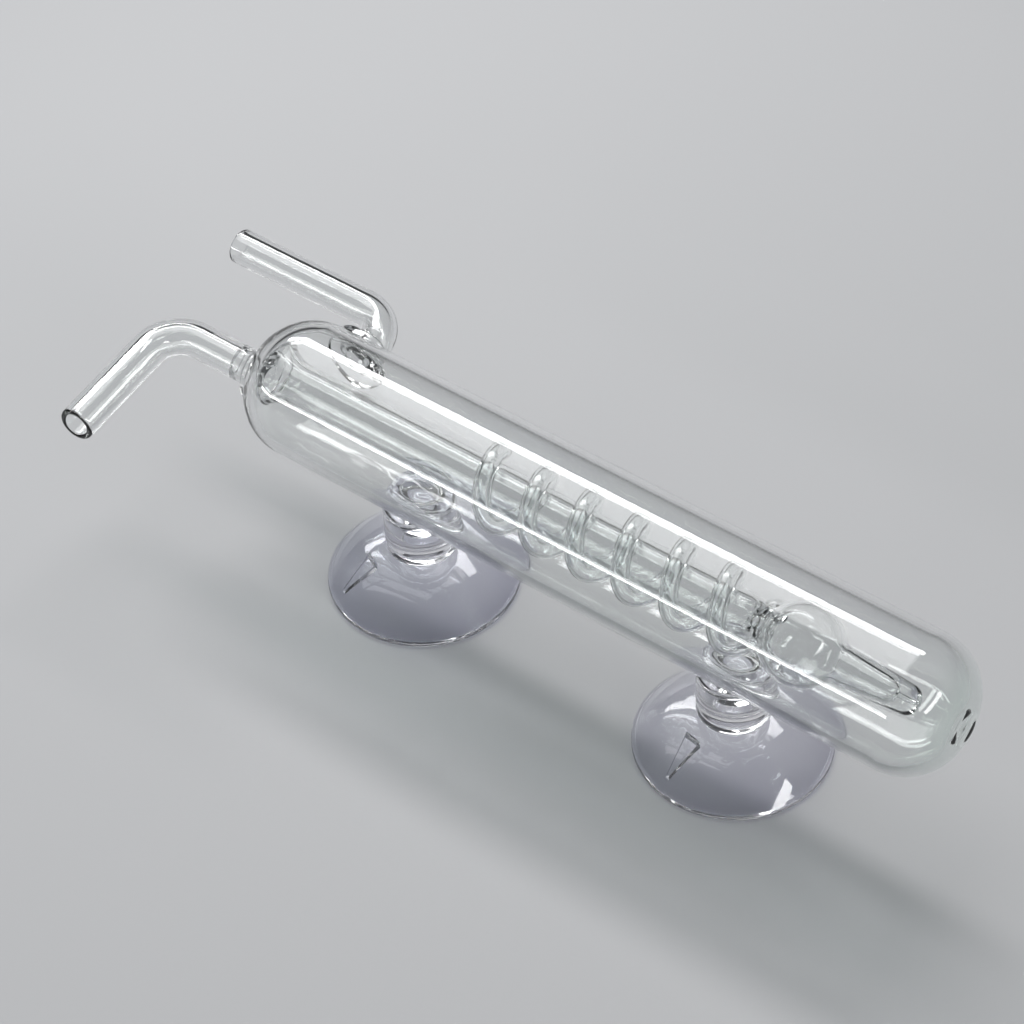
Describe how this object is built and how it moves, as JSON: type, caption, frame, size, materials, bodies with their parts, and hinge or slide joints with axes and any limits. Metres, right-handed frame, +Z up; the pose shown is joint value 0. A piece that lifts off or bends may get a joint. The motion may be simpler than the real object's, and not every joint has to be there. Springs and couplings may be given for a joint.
{
  "type": "carbon dioxide diffuser",
  "caption": "Clear glass spiral diffuser and bubble counter: a closed tube with inner tube, bulb, nozzle and coil, two hose tails, on clear suction cups.",
  "frame": {"origin": "on the pane under the suction cups, at the middle of the whole outline seen from above", "axes": "+X along the big tube from the hose-tail end to the dome, +Z up away from the pane, +Y to the side hose tail's side"},
  "size_m": [0.17, 0.0558, 0.0458],
  "materials": {
    "clear_glass": "clear, fire-polished",
    "clear_soft_plastic": "clear, soft, slightly blue"
  },
  "bodies": {
    "glass": {"outer_chamber": "clear_glass", "ring_seal": "clear_glass", "inner_tube": "clear_glass", "waist_neck": "clear_glass", "bulb": "clear_glass", "nozzle": "clear_glass", "spiral_tube": "clear_glass", "spiral_weld": "clear_glass", "end_port_tube": "clear_glass", "end_port_weld": "clear_glass", "side_port_tube": "clear_glass", "side_port_weld": "clear_glass", "port_end_peg": "clear_glass", "port_end_peg_weld": "clear_glass", "nozzle_end_peg": "clear_glass", "nozzle_end_peg_weld": "clear_glass"},
    "port_end_cup": {"port_end_suction_cup": "clear_soft_plastic"},
    "nozzle_end_cup": {"nozzle_end_suction_cup": "clear_soft_plastic"}
  },
  "joints": [
    {"name": "port_end_cup_swivel", "type": "hinge", "parent": "glass", "child": "port_end_cup", "pos_m": [-0.02645, 0.00234, 0.0162], "axis": [0, 0, 1], "continuous": true},
    {"name": "nozzle_end_cup_swivel", "type": "hinge", "parent": "glass", "child": "nozzle_end_cup", "pos_m": [0.04075, 0.00234, 0.0162], "axis": [0, 0, 1], "continuous": true}
  ]
}
